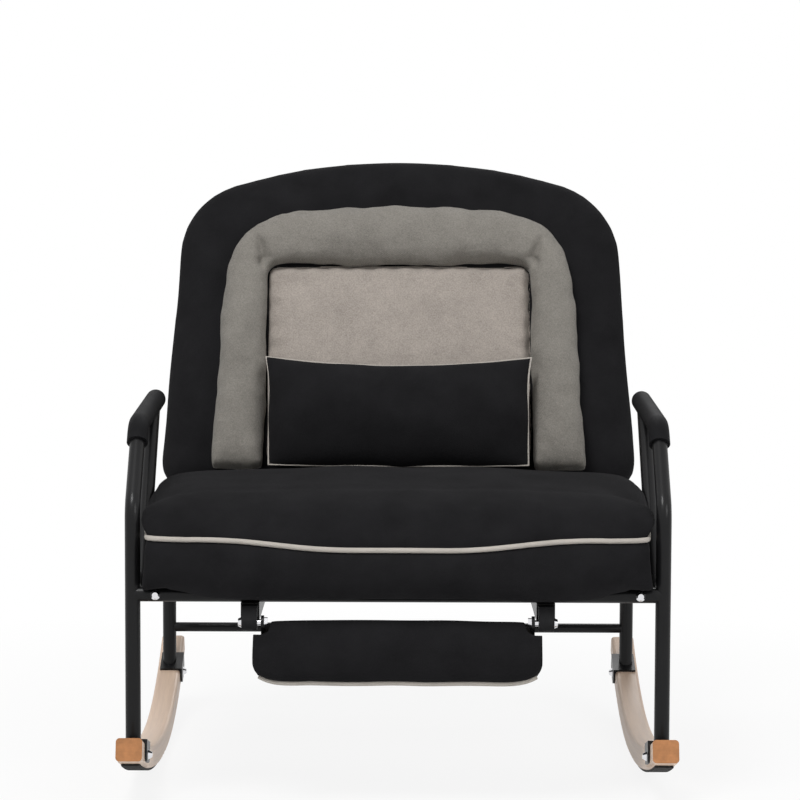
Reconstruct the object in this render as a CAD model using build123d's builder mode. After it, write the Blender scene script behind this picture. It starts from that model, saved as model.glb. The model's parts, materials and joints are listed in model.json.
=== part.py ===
from build123d import *
import os
from math import asin, cos, degrees, radians, sin

os.makedirs("parts", exist_ok=True)

# Driving sizes, in millimetres. +Y runs to the back of the chair, +X to the viewer's right.

# Side frames: bent steel tube, one front leg with its arm and one rail with its rear leg
side_x = 344.0
tube_d = 20.0
tube_wall = 1.5
front_leg_y = -328.2
leg_base = 600.0
rail_z = 276.0
rail_bend_r = 45.0
arm_knee_z = 388.0
arm_front = 95.0
arm_front_z = 487.0
arm_rear = 366.0
arm_rear_z = 498.0
arm_bend_r = 45.0
brace_top = 327.0
brace_foot = 128.0

# Arm sleeves: soft grips over the arm tubes
sleeve_d = 28.0
sleeve_lap = 30.0
sleeve_end = 9.0
sleeve_end_r = 9.0
slit_clear = 0.3

# Rockers: bent wood with a rubber tread, tighter behind the balance point than before it
balance = 342.0
front_arc_r = 1280.0
rear_arc_r = 755.0
front_reach = 69.0
rear_reach = 82.0
rocker_w = 34.0
rocker_t = 30.0
rocker_edge_r = 5.0
tread_t = 3.0
tread_w = 24.0
tread_short = 1.2
rest_flat = 0.9

# Saddles that carry the legs on the rockers, and their bolts
saddle_t = 3.0
saddle_len = 48.0
saddle_flange = 30.0
saddle_tab = 25.0
bolt_d = 6.0
bolt_grip = 24.0
bolt_head_d = 13.0
bolt_head_t = 5.0

# Cross tubes
stretcher_z = 134.0
stretcher_d = 14.0
mid_tube = 235.0
rear_tube = 470.0
stud_x = 314.0
stud_d = 8.0
stud_head_d = 13.0
stud_head_t = 4.5

# Seat webbing and cushion
strap_w = 50.0
strap_t = 1.5
strap_count = 6
strap_pitch = 96.0
soft_gap = 0.4
lip_gap = 2.0
seat_rear = 452.0
seat_crest = 210.0
seat_shoulder = 60.0

# Back: hinge line, rake and upholstery
hinge_back = 490.0
hinge_z = 322.0
rake_deg = 22.0
pad_low = 30.0
pad_low_half = 349.0
pad_top_half = 327.0
pad_shoulder = 481.0
pad_top = 547.0
pad_corner_r = 125.0
pad_foot_r = 46.0
pad_rear = 45.0
pad_front = 50.0
pad_edge_r = 40.0
frame_depth = 20.0
frame_top = 490.0
frame_bend_r = 100.0
frame_foot = 2.0
frame_bar = 14.0
bar_short = 1.0
bolster_low = 60.0
bolster_low_half = 273.0
bolster_top_half = 252.0
bolster_shoulder = 404.0
bolster_top = 455.0
bolster_corner_r = 88.0
bolster_h = 42.0
bolster_edge_r = 19.0
panel_half = 194.0
panel_top = 363.0
panel_corner_r = 14.0
panel_h = 16.0
panel_edge_r = 7.0
pillow_half = 192.0
pillow_low = 39.0
pillow_high = 195.0
pillow_half_t = 44.0
pillow_edge_t = 6.0

# Recline hinges
plate_t = 5.0
plate_gap = 0.5
plate_r = 24.0
plate_up = 150.0
plate_tip_r = 12.0
seat_plate_r = 26.0
seat_plate_foot_r = 17.0
drum_r = 22.0
drum_t = 6.0
drum_edge_r = 1.5
pin_d = 10.0
pin_head_d = 16.0
pin_head_t = 3.5
pin_play = 0.2
running = 0.05

# Footrest: two sliding square tubes and a pad that swings on their ends
slide_x = 191.5
guide_out = 24.0
guide_wall = 1.7
slide_out = 20.0
slide_wall = 1.5
guide_front = 8.0
guide_rear = 250.0
slide_front = 12.0
slide_rear = 555.0
stop_t = 5.0
pivot_ahead = 24.0
pivot_z = 243.0
clevis_r = 11.0
clevis_w = 20.0
pivot_d = 8.0
pivot_head_d = 14.0
pivot_head_t = 4.5
lug_x = 172.5
lug_t = 4.0
lug_r = 9.0
board_half = 177.0
board_t = 8.0
board_back = 7.4
board_low = 170.0
board_high = 237.0
foot_half = 188.0
foot_low = 159.0
foot_high = 248.0
foot_bulge = 18.0
foot_back = 7.0
notch_r = 15.0
notch_x = 166.5

# Derived places
SIDES = (("left", -1), ("right", 1))
tube_r = tube_d / 2
bore_r = tube_r - tube_wall
rear_leg_y = front_leg_y + leg_base
balance_y = front_leg_y + balance
hinge_y = front_leg_y + hinge_back
front_c = (balance_y, front_arc_r - rest_flat)
rear_c = (balance_y, rear_arc_r - rest_flat)
front_top_r = front_arc_r - tread_t - rocker_t
rear_top_r = rear_arc_r - tread_t - rocker_t
front_deg = degrees(asin((balance + front_reach) / front_arc_r))
rear_deg = degrees(asin((leg_base - balance + rear_reach) / rear_arc_r))
front_leg_deg = degrees(asin(balance / front_top_r))
rear_leg_deg = degrees(asin((leg_base - balance) / rear_top_r))
inner_x = side_x - rocker_w / 2
arm_rise = (arm_rear_z - arm_front_z) / (arm_rear - arm_front)


def arm_point(y):
    return (front_leg_y + y, arm_front_z + (y - arm_front) * arm_rise)


def on_front_arc(radius):
    turn = radians(front_leg_deg)
    return (front_c[0] - radius * sin(turn), front_c[1] - radius * cos(turn))


def on_rear_arc(radius):
    turn = radians(rear_leg_deg)
    return (rear_c[0] + radius * sin(turn), rear_c[1] - radius * cos(turn))


def both_sides(middle, *rows):
    mirrored = [(-row[0], *row[1:]) for row in reversed(rows)]
    return [*mirrored, middle, *rows]


def save(piece, name):
    piece.part.label = name
    export_step(piece.part, f"parts/{name}.step")


bolt_spots = (
    on_front_arc(front_top_r + rocker_t / 2),
    on_rear_arc(rear_top_r + rocker_t / 2),
)

# Rockers and treads
for side, sx in SIDES:
    with BuildPart() as rocker:
        with BuildSketch(Plane.YZ.offset(sx * side_x - rocker_w / 2)):
            with BuildLine():
                under_front = CenterArc(front_c, front_arc_r - tread_t, 270 - front_deg, front_deg)
                under_rear = CenterArc(rear_c, rear_arc_r - tread_t, 270, rear_deg)
                top_front = CenterArc(front_c, front_top_r, 270 - front_deg, front_deg)
                top_rear = CenterArc(rear_c, rear_top_r, 270, rear_deg)
                Line(under_front @ 0, top_front @ 0)
                Line(under_rear @ 1, top_rear @ 1)
            make_face()
        extrude(amount=rocker_w)
        fillet(rocker.edges().filter_by(GeomType.CIRCLE), radius=rocker_edge_r)
        with BuildSketch(Plane.YZ.offset(sx * inner_x)):
            with Locations(*bolt_spots):
                Circle(bolt_d / 2)
        extrude(amount=sx * bolt_grip, mode=Mode.SUBTRACT)
    save(rocker, f"{side}_rocker")

    with BuildPart() as tread:
        with BuildSketch(Plane.YZ.offset(sx * side_x - tread_w / 2)):
            with BuildLine():
                front_turn = front_deg - tread_short
                rear_turn = rear_deg - tread_short
                low_front = CenterArc(front_c, front_arc_r, 270 - front_turn, front_turn)
                low_rear = CenterArc(rear_c, rear_arc_r, 270, rear_turn)
                high_front = CenterArc(front_c, front_arc_r - tread_t, 270 - front_turn, front_turn)
                high_rear = CenterArc(rear_c, rear_arc_r - tread_t, 270, rear_turn)
                Line(low_front @ 0, high_front @ 0)
                Line(low_rear @ 1, high_rear @ 1)
            make_face()
        extrude(amount=tread_w)
        split(bisect_by=Plane.XY, keep=Keep.TOP)
    save(tread, f"{side}_tread")

    # Front leg and arm, one tube
    with BuildPart() as front_leg:
        with BuildLine(Plane.YZ.offset(sx * side_x)) as leg_run:
            FilletPolyline(
                (front_leg_y, rest_flat),
                (front_leg_y, arm_knee_z),
                arm_point(arm_front),
                arm_point(arm_rear),
                radius=arm_bend_r,
            )
        with BuildSketch(Plane(origin=leg_run.line @ 0, z_dir=leg_run.line % 0)):
            Circle(tube_r)
            Circle(bore_r, mode=Mode.SUBTRACT)
        sweep()
        with BuildSketch(Plane.YZ.offset(sx * side_x - tube_d)):
            with Locations(front_c):
                Circle(front_top_r - saddle_t)
        extrude(amount=2 * tube_d, mode=Mode.INTERSECT)
    save(front_leg, f"{side}_front_leg")

    # Seat rail and rear leg, one tube, fitted round the front leg and the front cross tube
    with BuildPart() as rail:
        with BuildLine(Plane.YZ.offset(sx * side_x)) as rail_run:
            FilletPolyline(
                (front_leg_y, rail_z),
                (rear_leg_y, rail_z),
                (rear_leg_y, rest_flat),
                radius=rail_bend_r,
            )
        with BuildSketch(Plane(origin=rail_run.line @ 0, z_dir=rail_run.line % 0)):
            Circle(tube_r)
            Circle(bore_r, mode=Mode.SUBTRACT)
        sweep()
        with BuildSketch(Plane.XY.offset(rail_z - tube_d)):
            with Locations((sx * side_x, front_leg_y)):
                Circle(tube_r)
        extrude(amount=2 * tube_d, mode=Mode.SUBTRACT)
        with BuildSketch(Plane.YZ):
            with Locations((front_leg_y, rail_z)):
                Circle(tube_r)
        extrude(amount=sx * side_x, mode=Mode.SUBTRACT)
        with BuildSketch(Plane.YZ.offset(sx * side_x - tube_d)):
            with Locations(rear_c):
                Circle(rear_top_r - saddle_t)
        extrude(amount=2 * tube_d, mode=Mode.INTERSECT)
    save(rail, f"{side}_rail")

    # Brace from the rail to the arm, fitted round both tubes
    with BuildPart() as brace:
        with BuildLine(Plane.YZ.offset(sx * side_x)) as brace_run:
            Line((front_leg_y + brace_foot, rail_z), arm_point(brace_top))
        with BuildSketch(Plane(origin=brace_run.line @ 0, z_dir=brace_run.line % 0)):
            Circle(tube_r)
            Circle(bore_r, mode=Mode.SUBTRACT)
        sweep()
        with BuildSketch(Plane.XZ.offset(-front_leg_y - brace_foot)):
            with Locations((sx * side_x, rail_z)):
                Circle(tube_r)
        extrude(amount=3 * tube_d, both=True, mode=Mode.SUBTRACT)
        with BuildSketch(Plane(origin=brace_run.line @ 1, z_dir=(0, 1, arm_rise))):
            Circle(tube_r)
        extrude(amount=3 * tube_d, both=True, mode=Mode.SUBTRACT)
    save(brace, f"{side}_brace")

    # Arm sleeve with a rounded rear end, slit where the brace passes
    lap = 1 - sleeve_lap / ((arm_front**2 + (arm_front_z - arm_knee_z) ** 2) ** 0.5)
    lap_point = (
        front_leg_y + lap * arm_front,
        arm_knee_z + lap * (arm_front_z - arm_knee_z),
    )
    with BuildPart() as sleeve:
        with BuildLine(Plane.YZ.offset(sx * side_x)) as sleeve_run:
            FilletPolyline(
                lap_point,
                arm_point(arm_front),
                arm_point(arm_rear + sleeve_end),
                radius=arm_bend_r,
            )
        with BuildSketch(Plane(origin=sleeve_run.line @ 0, z_dir=sleeve_run.line % 0)):
            Circle(sleeve_d / 2)
        sweep()
        fillet(sleeve.faces().sort_by(Axis.Y)[-1].edges(), radius=sleeve_end_r)
        with BuildLine(Plane.YZ.offset(sx * side_x)) as core_run:
            FilletPolyline(
                lap_point,
                arm_point(arm_front),
                arm_point(arm_rear),
                radius=arm_bend_r,
            )
        with BuildSketch(Plane(origin=core_run.line @ 0, z_dir=core_run.line % 0)):
            Circle(tube_r)
        sweep(mode=Mode.SUBTRACT)
        with BuildSketch(Plane(origin=brace_run.line @ 1, z_dir=brace_run.line % 1)):
            Circle(tube_r + slit_clear)
        extrude(amount=-2 * tube_d, mode=Mode.SUBTRACT)
    save(sleeve, f"{side}_arm_sleeve")

    # Saddles under the legs: a top flange and a tab on the rocker's inner face
    for where, centre, top_r, leg_deg, spot in (
        ("front", front_c, front_top_r, 270 - front_leg_deg, bolt_spots[0]),
        ("rear", rear_c, rear_top_r, 270 + rear_leg_deg, bolt_spots[1]),
    ):
        span = degrees(saddle_len / top_r)
        with BuildPart() as saddle:
            with BuildSketch(Plane.YZ.offset(sx * (inner_x - saddle_t))):
                with BuildLine():
                    upper = CenterArc(centre, top_r - saddle_t, leg_deg - span / 2, span)
                    lower = CenterArc(centre, top_r, leg_deg - span / 2, span)
                    Line(upper @ 0, lower @ 0)
                    Line(upper @ 1, lower @ 1)
                make_face()
            extrude(amount=sx * (saddle_flange + saddle_t))
            with BuildSketch(Plane.YZ.offset(sx * (inner_x - saddle_t))):
                with BuildLine():
                    upper = CenterArc(centre, top_r - saddle_t, leg_deg - span / 2, span)
                    lower = CenterArc(centre, top_r + saddle_tab, leg_deg - span / 2, span)
                    Line(upper @ 0, lower @ 0)
                    Line(upper @ 1, lower @ 1)
                make_face()
                fillet(
                    vertices().sort_by_distance((*centre, 0))[-2:],
                    radius=saddle_len / 4,
                )
            extrude(amount=sx * saddle_t)
            with BuildSketch(Plane.YZ.offset(sx * (inner_x - saddle_t))):
                with Locations(spot):
                    Circle(bolt_d / 2)
            extrude(amount=sx * saddle_t, mode=Mode.SUBTRACT)
        save(saddle, f"{side}_{where}_saddle")

# Bolts that hold the saddles, domed heads inward
with BuildPart() as rocker_bolts:
    for side, sx in SIDES:
        with BuildSketch(Plane.YZ.offset(sx * (inner_x - saddle_t))):
            with Locations(*bolt_spots):
                Circle(bolt_d / 2)
        extrude(amount=sx * (bolt_grip + saddle_t))
        with BuildSketch(Plane.YZ.offset(sx * (inner_x - saddle_t))):
            with Locations(*bolt_spots):
                Circle(bolt_head_d / 2)
        extrude(amount=-sx * bolt_head_t, taper=32)
save(rocker_bolts, "rocker_bolts")

# Cross tubes: each is fitted round the tubes that carry it
with BuildPart() as front_tube:
    with BuildSketch(Plane.YZ.offset(-side_x)):
        with Locations((front_leg_y, rail_z)):
            Circle(tube_r)
            Circle(bore_r, mode=Mode.SUBTRACT)
    extrude(amount=2 * side_x)
    with BuildSketch(Plane.XY.offset(rail_z - tube_d)):
        with Locations((-side_x, front_leg_y), (side_x, front_leg_y)):
            Circle(tube_r)
    extrude(amount=2 * tube_d, mode=Mode.SUBTRACT)
    with BuildSketch(Plane.XZ.offset(-front_leg_y)):
        with Locations((-stud_x, rail_z), (stud_x, rail_z)):
            Circle(stud_d / 2)
    extrude(amount=tube_d, mode=Mode.SUBTRACT)
save(front_tube, "front_tube")

for name, back in (("mid_tube", mid_tube), ("rear_tube", rear_tube)):
    with BuildPart() as cross:
        with BuildSketch(Plane.YZ.offset(-side_x)):
            with Locations((front_leg_y + back, rail_z)):
                Circle(tube_r)
                Circle(bore_r, mode=Mode.SUBTRACT)
        extrude(amount=2 * side_x)
        with BuildSketch(Plane.XZ.offset(-front_leg_y - back)):
            with Locations((-side_x, rail_z), (side_x, rail_z)):
                Circle(tube_r)
        extrude(amount=tube_d, both=True, mode=Mode.SUBTRACT)
    save(cross, name)

with BuildPart() as stretcher:
    with BuildSketch(Plane.YZ.offset(-side_x)):
        with Locations((rear_leg_y, stretcher_z)):
            Circle(stretcher_d / 2)
            Circle(stretcher_d / 2 - tube_wall, mode=Mode.SUBTRACT)
    extrude(amount=2 * side_x)
    with BuildSketch(Plane.XY.offset(stretcher_z - tube_d)):
        with Locations((-side_x, rear_leg_y), (side_x, rear_leg_y)):
            Circle(tube_r)
    extrude(amount=2 * tube_d, mode=Mode.SUBTRACT)
save(stretcher, "rear_stretcher")

# Bright studs in the front cross tube, at the corners of the seat
with BuildPart() as studs:
    with BuildSketch(Plane.XZ.offset(-front_leg_y + bore_r - 2)):
        with Locations((-stud_x, rail_z), (stud_x, rail_z)):
            Circle(stud_d / 2)
    extrude(amount=tube_wall + 2 + 1)
    with BuildSketch(Plane.XZ.offset(-front_leg_y + tube_r)):
        with Locations((-stud_x, rail_z), (stud_x, rail_z)):
            Circle(stud_head_d / 2)
    extrude(amount=stud_head_t, taper=30)
save(studs, "seat_studs")

# Seat webbing over the cross tubes
web_z = rail_z + tube_r
with BuildPart() as webbing:
    with BuildSketch(Plane.XY.offset(web_z)):
        with Locations((0, front_leg_y + rear_tube / 2)):
            with GridLocations(strap_pitch, 0, strap_count, 1):
                Rectangle(strap_w, rear_tube + tube_r)
    extrude(amount=strap_t)
save(webbing, "seat_webbing")

# Seat cushion: crowned top, full front edge, drawn-in sides and raised lower corners
# Each section gives its place across, the nose, lip, seam, fold, crest and rear heights
seat_middle = (0, 62, 266.5, 342, 402, 417, 373)
seat_inner = (130, 60.5, 266.5, 342.5, 401.5, 416, 372.5)
seat_outer = (250, 54, 269, 344, 399, 412, 369.5)
seat_corner = (304, 46, 282, 347.5, 394, 406, 366)
seat_side = (330, 32, 286.5, 350, 383, 391, 358)
seat_base = web_z + strap_t + soft_gap
lip_y = front_leg_y - tube_r - lip_gap
with BuildPart() as seat:
    for half, ahead, lip_z, seam_z, fold_z, crest_z, back_z in both_sides(
        seat_middle, seat_inner, seat_outer, seat_corner, seat_side
    ):
        front = front_leg_y - ahead
        with BuildSketch(Plane.YZ.offset(half)):
            with BuildLine():
                Line((lip_y, seat_base), (lip_y, lip_z))
                Line((lip_y, lip_z), (lip_y - 4, lip_z))
                ThreePointArc((lip_y - 4, lip_z), (front, (lip_z + seam_z) / 2), (front + 6, seam_z))
                ThreePointArc(
                    (front + 6, seam_z),
                    (front + 36, (seam_z + fold_z) / 2 + 13),
                    (front_leg_y + seat_shoulder, fold_z),
                )
                ThreePointArc(
                    (front_leg_y + seat_shoulder, fold_z),
                    (front_leg_y + seat_crest, crest_z),
                    (front_leg_y + seat_rear, back_z),
                )
                Line((front_leg_y + seat_rear, back_z), (front_leg_y + seat_rear, seat_base))
                Line((front_leg_y + seat_rear, seat_base), (lip_y, seat_base))
            make_face()
    loft()
save(seat, "seat_cushion")

# Back frame in its raked plane: local X across, local Y up the back, normal to the front
rake = radians(rake_deg)
back = Plane(
    origin=(0, hinge_y, hinge_z),
    x_dir=(1, 0, 0),
    z_dir=(0, -cos(rake), sin(rake)),
)
back_axis = Axis(back.origin, back.z_dir)
seat_plate_x = side_x - tube_r - 7
back_plate_x = seat_plate_x - plate_t - plate_gap
frame_x = back_plate_x - plate_t - tube_r


def back_side(x):
    return Plane(origin=(x, hinge_y, hinge_z), x_dir=(0, cos(rake), -sin(rake)), z_dir=(1, 0, 0))


frame_corners = (
    (-frame_x, frame_foot),
    (-frame_x, frame_top),
    (frame_x, frame_top),
    (frame_x, frame_foot),
)
with BuildPart() as back_frame:
    with BuildLine(back.offset(-frame_depth)) as frame_run:
        FilletPolyline(*frame_corners, radius=frame_bend_r)
    with BuildSketch(Plane(origin=frame_run.line @ 0, z_dir=frame_run.line % 0)):
        Circle(tube_r)
        Circle(bore_r, mode=Mode.SUBTRACT)
    sweep()
save(back_frame, "back_frame")

with BuildPart() as back_bar:
    with BuildSketch(back_side(bar_short - frame_x)):
        with Locations((frame_depth, frame_bar)):
            Circle(tube_r)
            Circle(bore_r, mode=Mode.SUBTRACT)
    extrude(amount=2 * (frame_x - bar_short))
    for side, sx in SIDES:
        leg_spot = back.from_local_coords((sx * frame_x, frame_bar - tube_d, -frame_depth))
        with BuildSketch(Plane(origin=leg_spot, z_dir=back.y_dir)):
            Circle(tube_r)
        extrude(amount=2 * tube_d, mode=Mode.SUBTRACT)
save(back_bar, "back_bar")

# Outer back pad, hollowed for the frame and the hinge plates
with BuildPart() as back_pad:
    with BuildSketch(back.offset(-pad_rear)):
        with BuildLine():
            Line((-pad_low_half, pad_low), (pad_low_half, pad_low))
            Line((pad_low_half, pad_low), (pad_top_half, pad_shoulder))
            ThreePointArc((pad_top_half, pad_shoulder), (0, pad_top), (-pad_top_half, pad_shoulder))
            Line((-pad_top_half, pad_shoulder), (-pad_low_half, pad_low))
        make_face()
        fillet(vertices().group_by(Axis.Y)[-1], radius=pad_corner_r)
        fillet(vertices().group_by(Axis.Y)[0], radius=pad_foot_r)
    extrude(amount=pad_rear + pad_front)
    fillet(
        back_pad.faces().filter_by(back_axis).edges(),
        radius=pad_edge_r,
    )
    for side, sx in SIDES:
        with BuildSketch(back_side(sx * (frame_x + tube_r / 2))):
            with Locations(((frame_depth + plate_tip_r - plate_r) / 2, (pad_low + plate_up) / 2)):
                Rectangle(frame_depth + plate_tip_r + plate_r + 8, plate_up - pad_low + 2 * plate_r + 8)
        extrude(amount=sx * (tube_r / 2 + plate_t + soft_gap), mode=Mode.SUBTRACT)
    with BuildLine(back.offset(-frame_depth)) as pad_cut:
        FilletPolyline(*frame_corners, radius=frame_bend_r)
    with BuildSketch(Plane(origin=pad_cut.line @ 0, z_dir=pad_cut.line % 0)):
        Circle(tube_r + soft_gap)
    sweep(mode=Mode.SUBTRACT)
save(back_pad, "back_pad")

# Grey liner: a puffed border open at the foot, and the panel inside it
liner_face = pad_front + soft_gap
with BuildPart() as bolster:
    with BuildSketch(back.offset(liner_face)):
        with BuildLine():
            Line((-bolster_low_half, bolster_low), (bolster_low_half, bolster_low))
            Line((bolster_low_half, bolster_low), (bolster_top_half, bolster_shoulder))
            ThreePointArc(
                (bolster_top_half, bolster_shoulder),
                (0, bolster_top),
                (-bolster_top_half, bolster_shoulder),
            )
            Line((-bolster_top_half, bolster_shoulder), (-bolster_low_half, bolster_low))
        make_face()
        fillet(vertices().group_by(Axis.Y)[-1], radius=bolster_corner_r)
        with BuildLine(mode=Mode.PRIVATE) as inside:
            Polyline(
                (-panel_half, bolster_low - 40),
                (-panel_half, panel_top),
                (panel_half, panel_top),
                (panel_half, bolster_low - 40),
                close=True,
            )
        make_face(inside.edges(), mode=Mode.SUBTRACT)
        fillet(
            vertices().filter_by(lambda v: abs(v.Y - panel_top) < 1 and abs(v.X) < panel_half + 1),
            radius=panel_corner_r,
        )
    extrude(amount=bolster_h)
    fillet(
        bolster.faces().filter_by(back_axis).sort_by(back_axis)[-1].edges(),
        radius=bolster_edge_r,
    )
save(bolster, "liner_bolster")

with BuildPart() as panel:
    with BuildSketch(back.offset(liner_face)):
        with Locations((0, (bolster_low + panel_top) / 2)):
            RectangleRounded(
                2 * (panel_half - soft_gap),
                panel_top - bolster_low - 2 * soft_gap,
                panel_corner_r,
            )
    extrude(amount=panel_h)
    fillet(
        panel.faces().filter_by(back_axis).sort_by(back_axis)[-1].edges(),
        radius=panel_edge_r,
    )
save(panel, "liner_panel")

# Lumbar pillow: thick middle, thin seamed edges
pillow_n = liner_face + panel_h + soft_gap + pillow_half_t
pillow_mid = (pillow_low + pillow_high) / 2
with BuildPart() as pillow:
    for rise, thick, half in (
        (pillow_low, pillow_edge_t, pillow_half),
        ((3 * pillow_low + pillow_high) / 4, 0.78 * pillow_half_t, pillow_half - 5),
        (pillow_mid, pillow_half_t, pillow_half - 8),
        ((pillow_low + 3 * pillow_high) / 4, 0.78 * pillow_half_t, pillow_half - 5),
        (pillow_high, pillow_edge_t, pillow_half),
    ):
        spot = back.from_local_coords((0, rise, pillow_n))
        with BuildSketch(Plane(origin=spot, x_dir=(1, 0, 0), z_dir=back.y_dir)):
            with BuildLine():
                ThreePointArc((-half, 0), (0, thick), (half, 0))
                ThreePointArc((half, 0), (0, -thick), (-half, 0))
            make_face()
    loft()
save(pillow, "lumbar_pillow")

# Recline hinges: a plate on the rear tube, a plate on the back frame, a stop drum and a pin
for side, sx in SIDES:
    with BuildPart() as seat_plate:
        with BuildSketch(Plane.YZ.offset(sx * (seat_plate_x - plate_t))):
            with Locations((hinge_y, hinge_z)):
                Circle(seat_plate_r)
            with Locations((front_leg_y + rear_tube, rail_z)):
                Circle(seat_plate_foot_r)
            make_hull()
            with Locations((hinge_y, hinge_z)):
                Circle(pin_d / 2, mode=Mode.SUBTRACT)
            with Locations((front_leg_y + rear_tube, rail_z)):
                Circle(tube_r, mode=Mode.SUBTRACT)
        extrude(amount=sx * plate_t)
    save(seat_plate, f"{side}_hinge_seat_plate")

    with BuildPart() as back_plate:
        with BuildSketch(back_side(sx * (back_plate_x - plate_t))):
            Circle(plate_r)
            with Locations((frame_depth, plate_up)):
                Circle(plate_tip_r)
            make_hull()
            Circle(pin_d / 2 + running, mode=Mode.SUBTRACT)
        extrude(amount=sx * plate_t)
    save(back_plate, f"{side}_hinge_back_plate")

    with BuildPart() as drum:
        with BuildSketch(Plane.YZ.offset(sx * seat_plate_x)):
            with Locations((hinge_y, hinge_z)):
                Circle(drum_r)
                Circle(pin_d / 2, mode=Mode.SUBTRACT)
        extrude(amount=sx * drum_t)
        outer_face = drum.faces().sort_by(Axis.X)[0 if sx < 0 else -1]
        fillet(outer_face.edges().sort_by(SortBy.RADIUS)[-1:], radius=drum_edge_r)
    save(drum, f"{side}_ratchet_drum")

    with BuildPart() as pin:
        pin_in = back_plate_x - plate_t - pin_play
        with BuildSketch(Plane.YZ.offset(sx * pin_in)):
            with Locations((hinge_y, hinge_z)):
                Circle(pin_d / 2)
        extrude(amount=sx * (seat_plate_x + drum_t - pin_in))
        with BuildSketch(Plane.YZ.offset(sx * pin_in)):
            with Locations((hinge_y, hinge_z)):
                Circle(pin_head_d / 2)
        extrude(amount=-sx * pin_head_t)
    save(pin, f"{side}_hinge_pin")

# Footrest guides, slides, stops and clevises
slide_z = rail_z - tube_r - guide_out / 2
pivot_y = front_leg_y - pivot_ahead
slide_nose = front_leg_y - slide_front
for side, sx in SIDES:
    with BuildPart() as guide:
        with BuildSketch(Plane.XZ.offset(-front_leg_y - guide_rear)):
            with Locations((sx * slide_x, slide_z)):
                Rectangle(guide_out, guide_out)
                Rectangle(guide_out - 2 * guide_wall, guide_out - 2 * guide_wall, mode=Mode.SUBTRACT)
        extrude(amount=guide_rear + guide_front)
    save(guide, f"{side}_footrest_guide")

    with BuildPart() as slide:
        with BuildSketch(Plane.XZ.offset(-front_leg_y - slide_rear)):
            with Locations((sx * slide_x, slide_z)):
                Rectangle(slide_out, slide_out)
                Rectangle(slide_out - 2 * slide_wall, slide_out - 2 * slide_wall, mode=Mode.SUBTRACT)
        extrude(amount=slide_rear + slide_front)
    save(slide, f"{side}_slide_tube")

    with BuildPart() as stop:
        with BuildSketch(Plane.XZ.offset(-front_leg_y - slide_rear)):
            with Locations((sx * slide_x, slide_z)):
                RectangleRounded(guide_out, guide_out, 2)
        extrude(amount=-stop_t)
    save(stop, f"{side}_slide_stop")

    with BuildPart() as clevis:
        with BuildSketch(Plane.YZ.offset(sx * (slide_x - clevis_w / 2))):
            with Locations((pivot_y, pivot_z)):
                Circle(clevis_r)
            with Locations(((pivot_y + slide_nose) / 2, slide_z)):
                Rectangle(slide_nose - pivot_y, slide_out)
            make_hull()
            with Locations((pivot_y, pivot_z)):
                Circle(pivot_d / 2, mode=Mode.SUBTRACT)
        extrude(amount=sx * clevis_w)
    save(clevis, f"{side}_footrest_clevis")

    with BuildPart() as lug:
        with BuildSketch(Plane.YZ.offset(sx * lug_x)):
            with Locations((pivot_y, pivot_z)):
                Circle(lug_r)
            with Locations((pivot_y + board_back / 2, pivot_z - lug_r / 2)):
                Rectangle(board_back, 2 * lug_r)
            make_hull()
            with Locations((pivot_y, pivot_z)):
                Circle(pivot_d / 2 + running, mode=Mode.SUBTRACT)
        extrude(amount=sx * lug_t)
        split(bisect_by=Plane.XZ.offset(-pivot_y - board_back), keep=Keep.TOP)
    save(lug, f"{side}_footrest_lug")

with BuildPart() as pivots:
    for side, sx in SIDES:
        with BuildSketch(Plane.YZ.offset(sx * lug_x)):
            with Locations((pivot_y, pivot_z)):
                Circle(pivot_d / 2)
        extrude(amount=sx * (slide_x + clevis_w / 2 - lug_x))
        with BuildSketch(Plane.YZ.offset(sx * (slide_x + clevis_w / 2))):
            with Locations((pivot_y, pivot_z)):
                Circle(pivot_head_d / 2)
        extrude(amount=sx * pivot_head_t, taper=25)
        with BuildSketch(Plane.YZ.offset(sx * (lug_x - pin_play))):
            with Locations((pivot_y, pivot_z)):
                RegularPolygon(pivot_head_d / 2, 6)
        extrude(amount=-sx * pivot_head_t)
        with BuildSketch(Plane.YZ.offset(sx * lug_x)):
            with Locations((pivot_y, pivot_z)):
                Circle(pivot_d / 2)
        extrude(amount=-sx * pin_play)
save(pivots, "footrest_pivots")

# Footrest board and its pad, which hang between and below the clevises
with BuildPart() as board:
    with BuildSketch(Plane.XZ.offset(-pivot_y - board_back)):
        with Locations((0, (board_low + board_high) / 2)):
            RectangleRounded(2 * board_half, board_high - board_low, 8)
    extrude(amount=-board_t)
save(board, "footrest_board")

foot_face = pivot_y + foot_back
with BuildPart() as foot_pad:
    for half, bulge, top, low in both_sides(
        (0, foot_bulge, foot_high, foot_low),
        (foot_half / 3, foot_bulge, foot_high, foot_low),
        (2 * foot_half / 3, foot_bulge - 1, foot_high - 0.5, foot_low + 0.5),
        (foot_half - 16, foot_bulge - 4, foot_high - 3, foot_low + 3),
        (foot_half, foot_bulge - 11, foot_high - 12, foot_low + 12),
    ):
        nose = pivot_y - bulge
        with BuildSketch(Plane.YZ.offset(half)):
            with BuildLine():
                Line((foot_face, low), (foot_face, top))
                ThreePointArc(
                    (foot_face, top),
                    (nose + 0.3 * (foot_face - nose), top - 7),
                    (nose, top - 26),
                )
                ThreePointArc((nose, top - 26), (nose - 2, (top + low) / 2), (nose, low + 24))
                ThreePointArc(
                    (nose, low + 24),
                    (nose + 0.3 * (foot_face - nose), low + 6),
                    (foot_face, low),
                )
            make_face()
    loft()
    for side, sx in SIDES:
        with BuildSketch(Plane.YZ.offset(sx * notch_x)):
            with Locations((pivot_y, pivot_z)):
                Circle(notch_r)
            with Locations((pivot_y + board_back / 2, pivot_z)):
                Rectangle(board_back, 2 * notch_r)
        extrude(amount=sx * 2 * clevis_w, mode=Mode.SUBTRACT)
save(foot_pad, "footrest_pad")
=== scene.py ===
import json
import math

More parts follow.
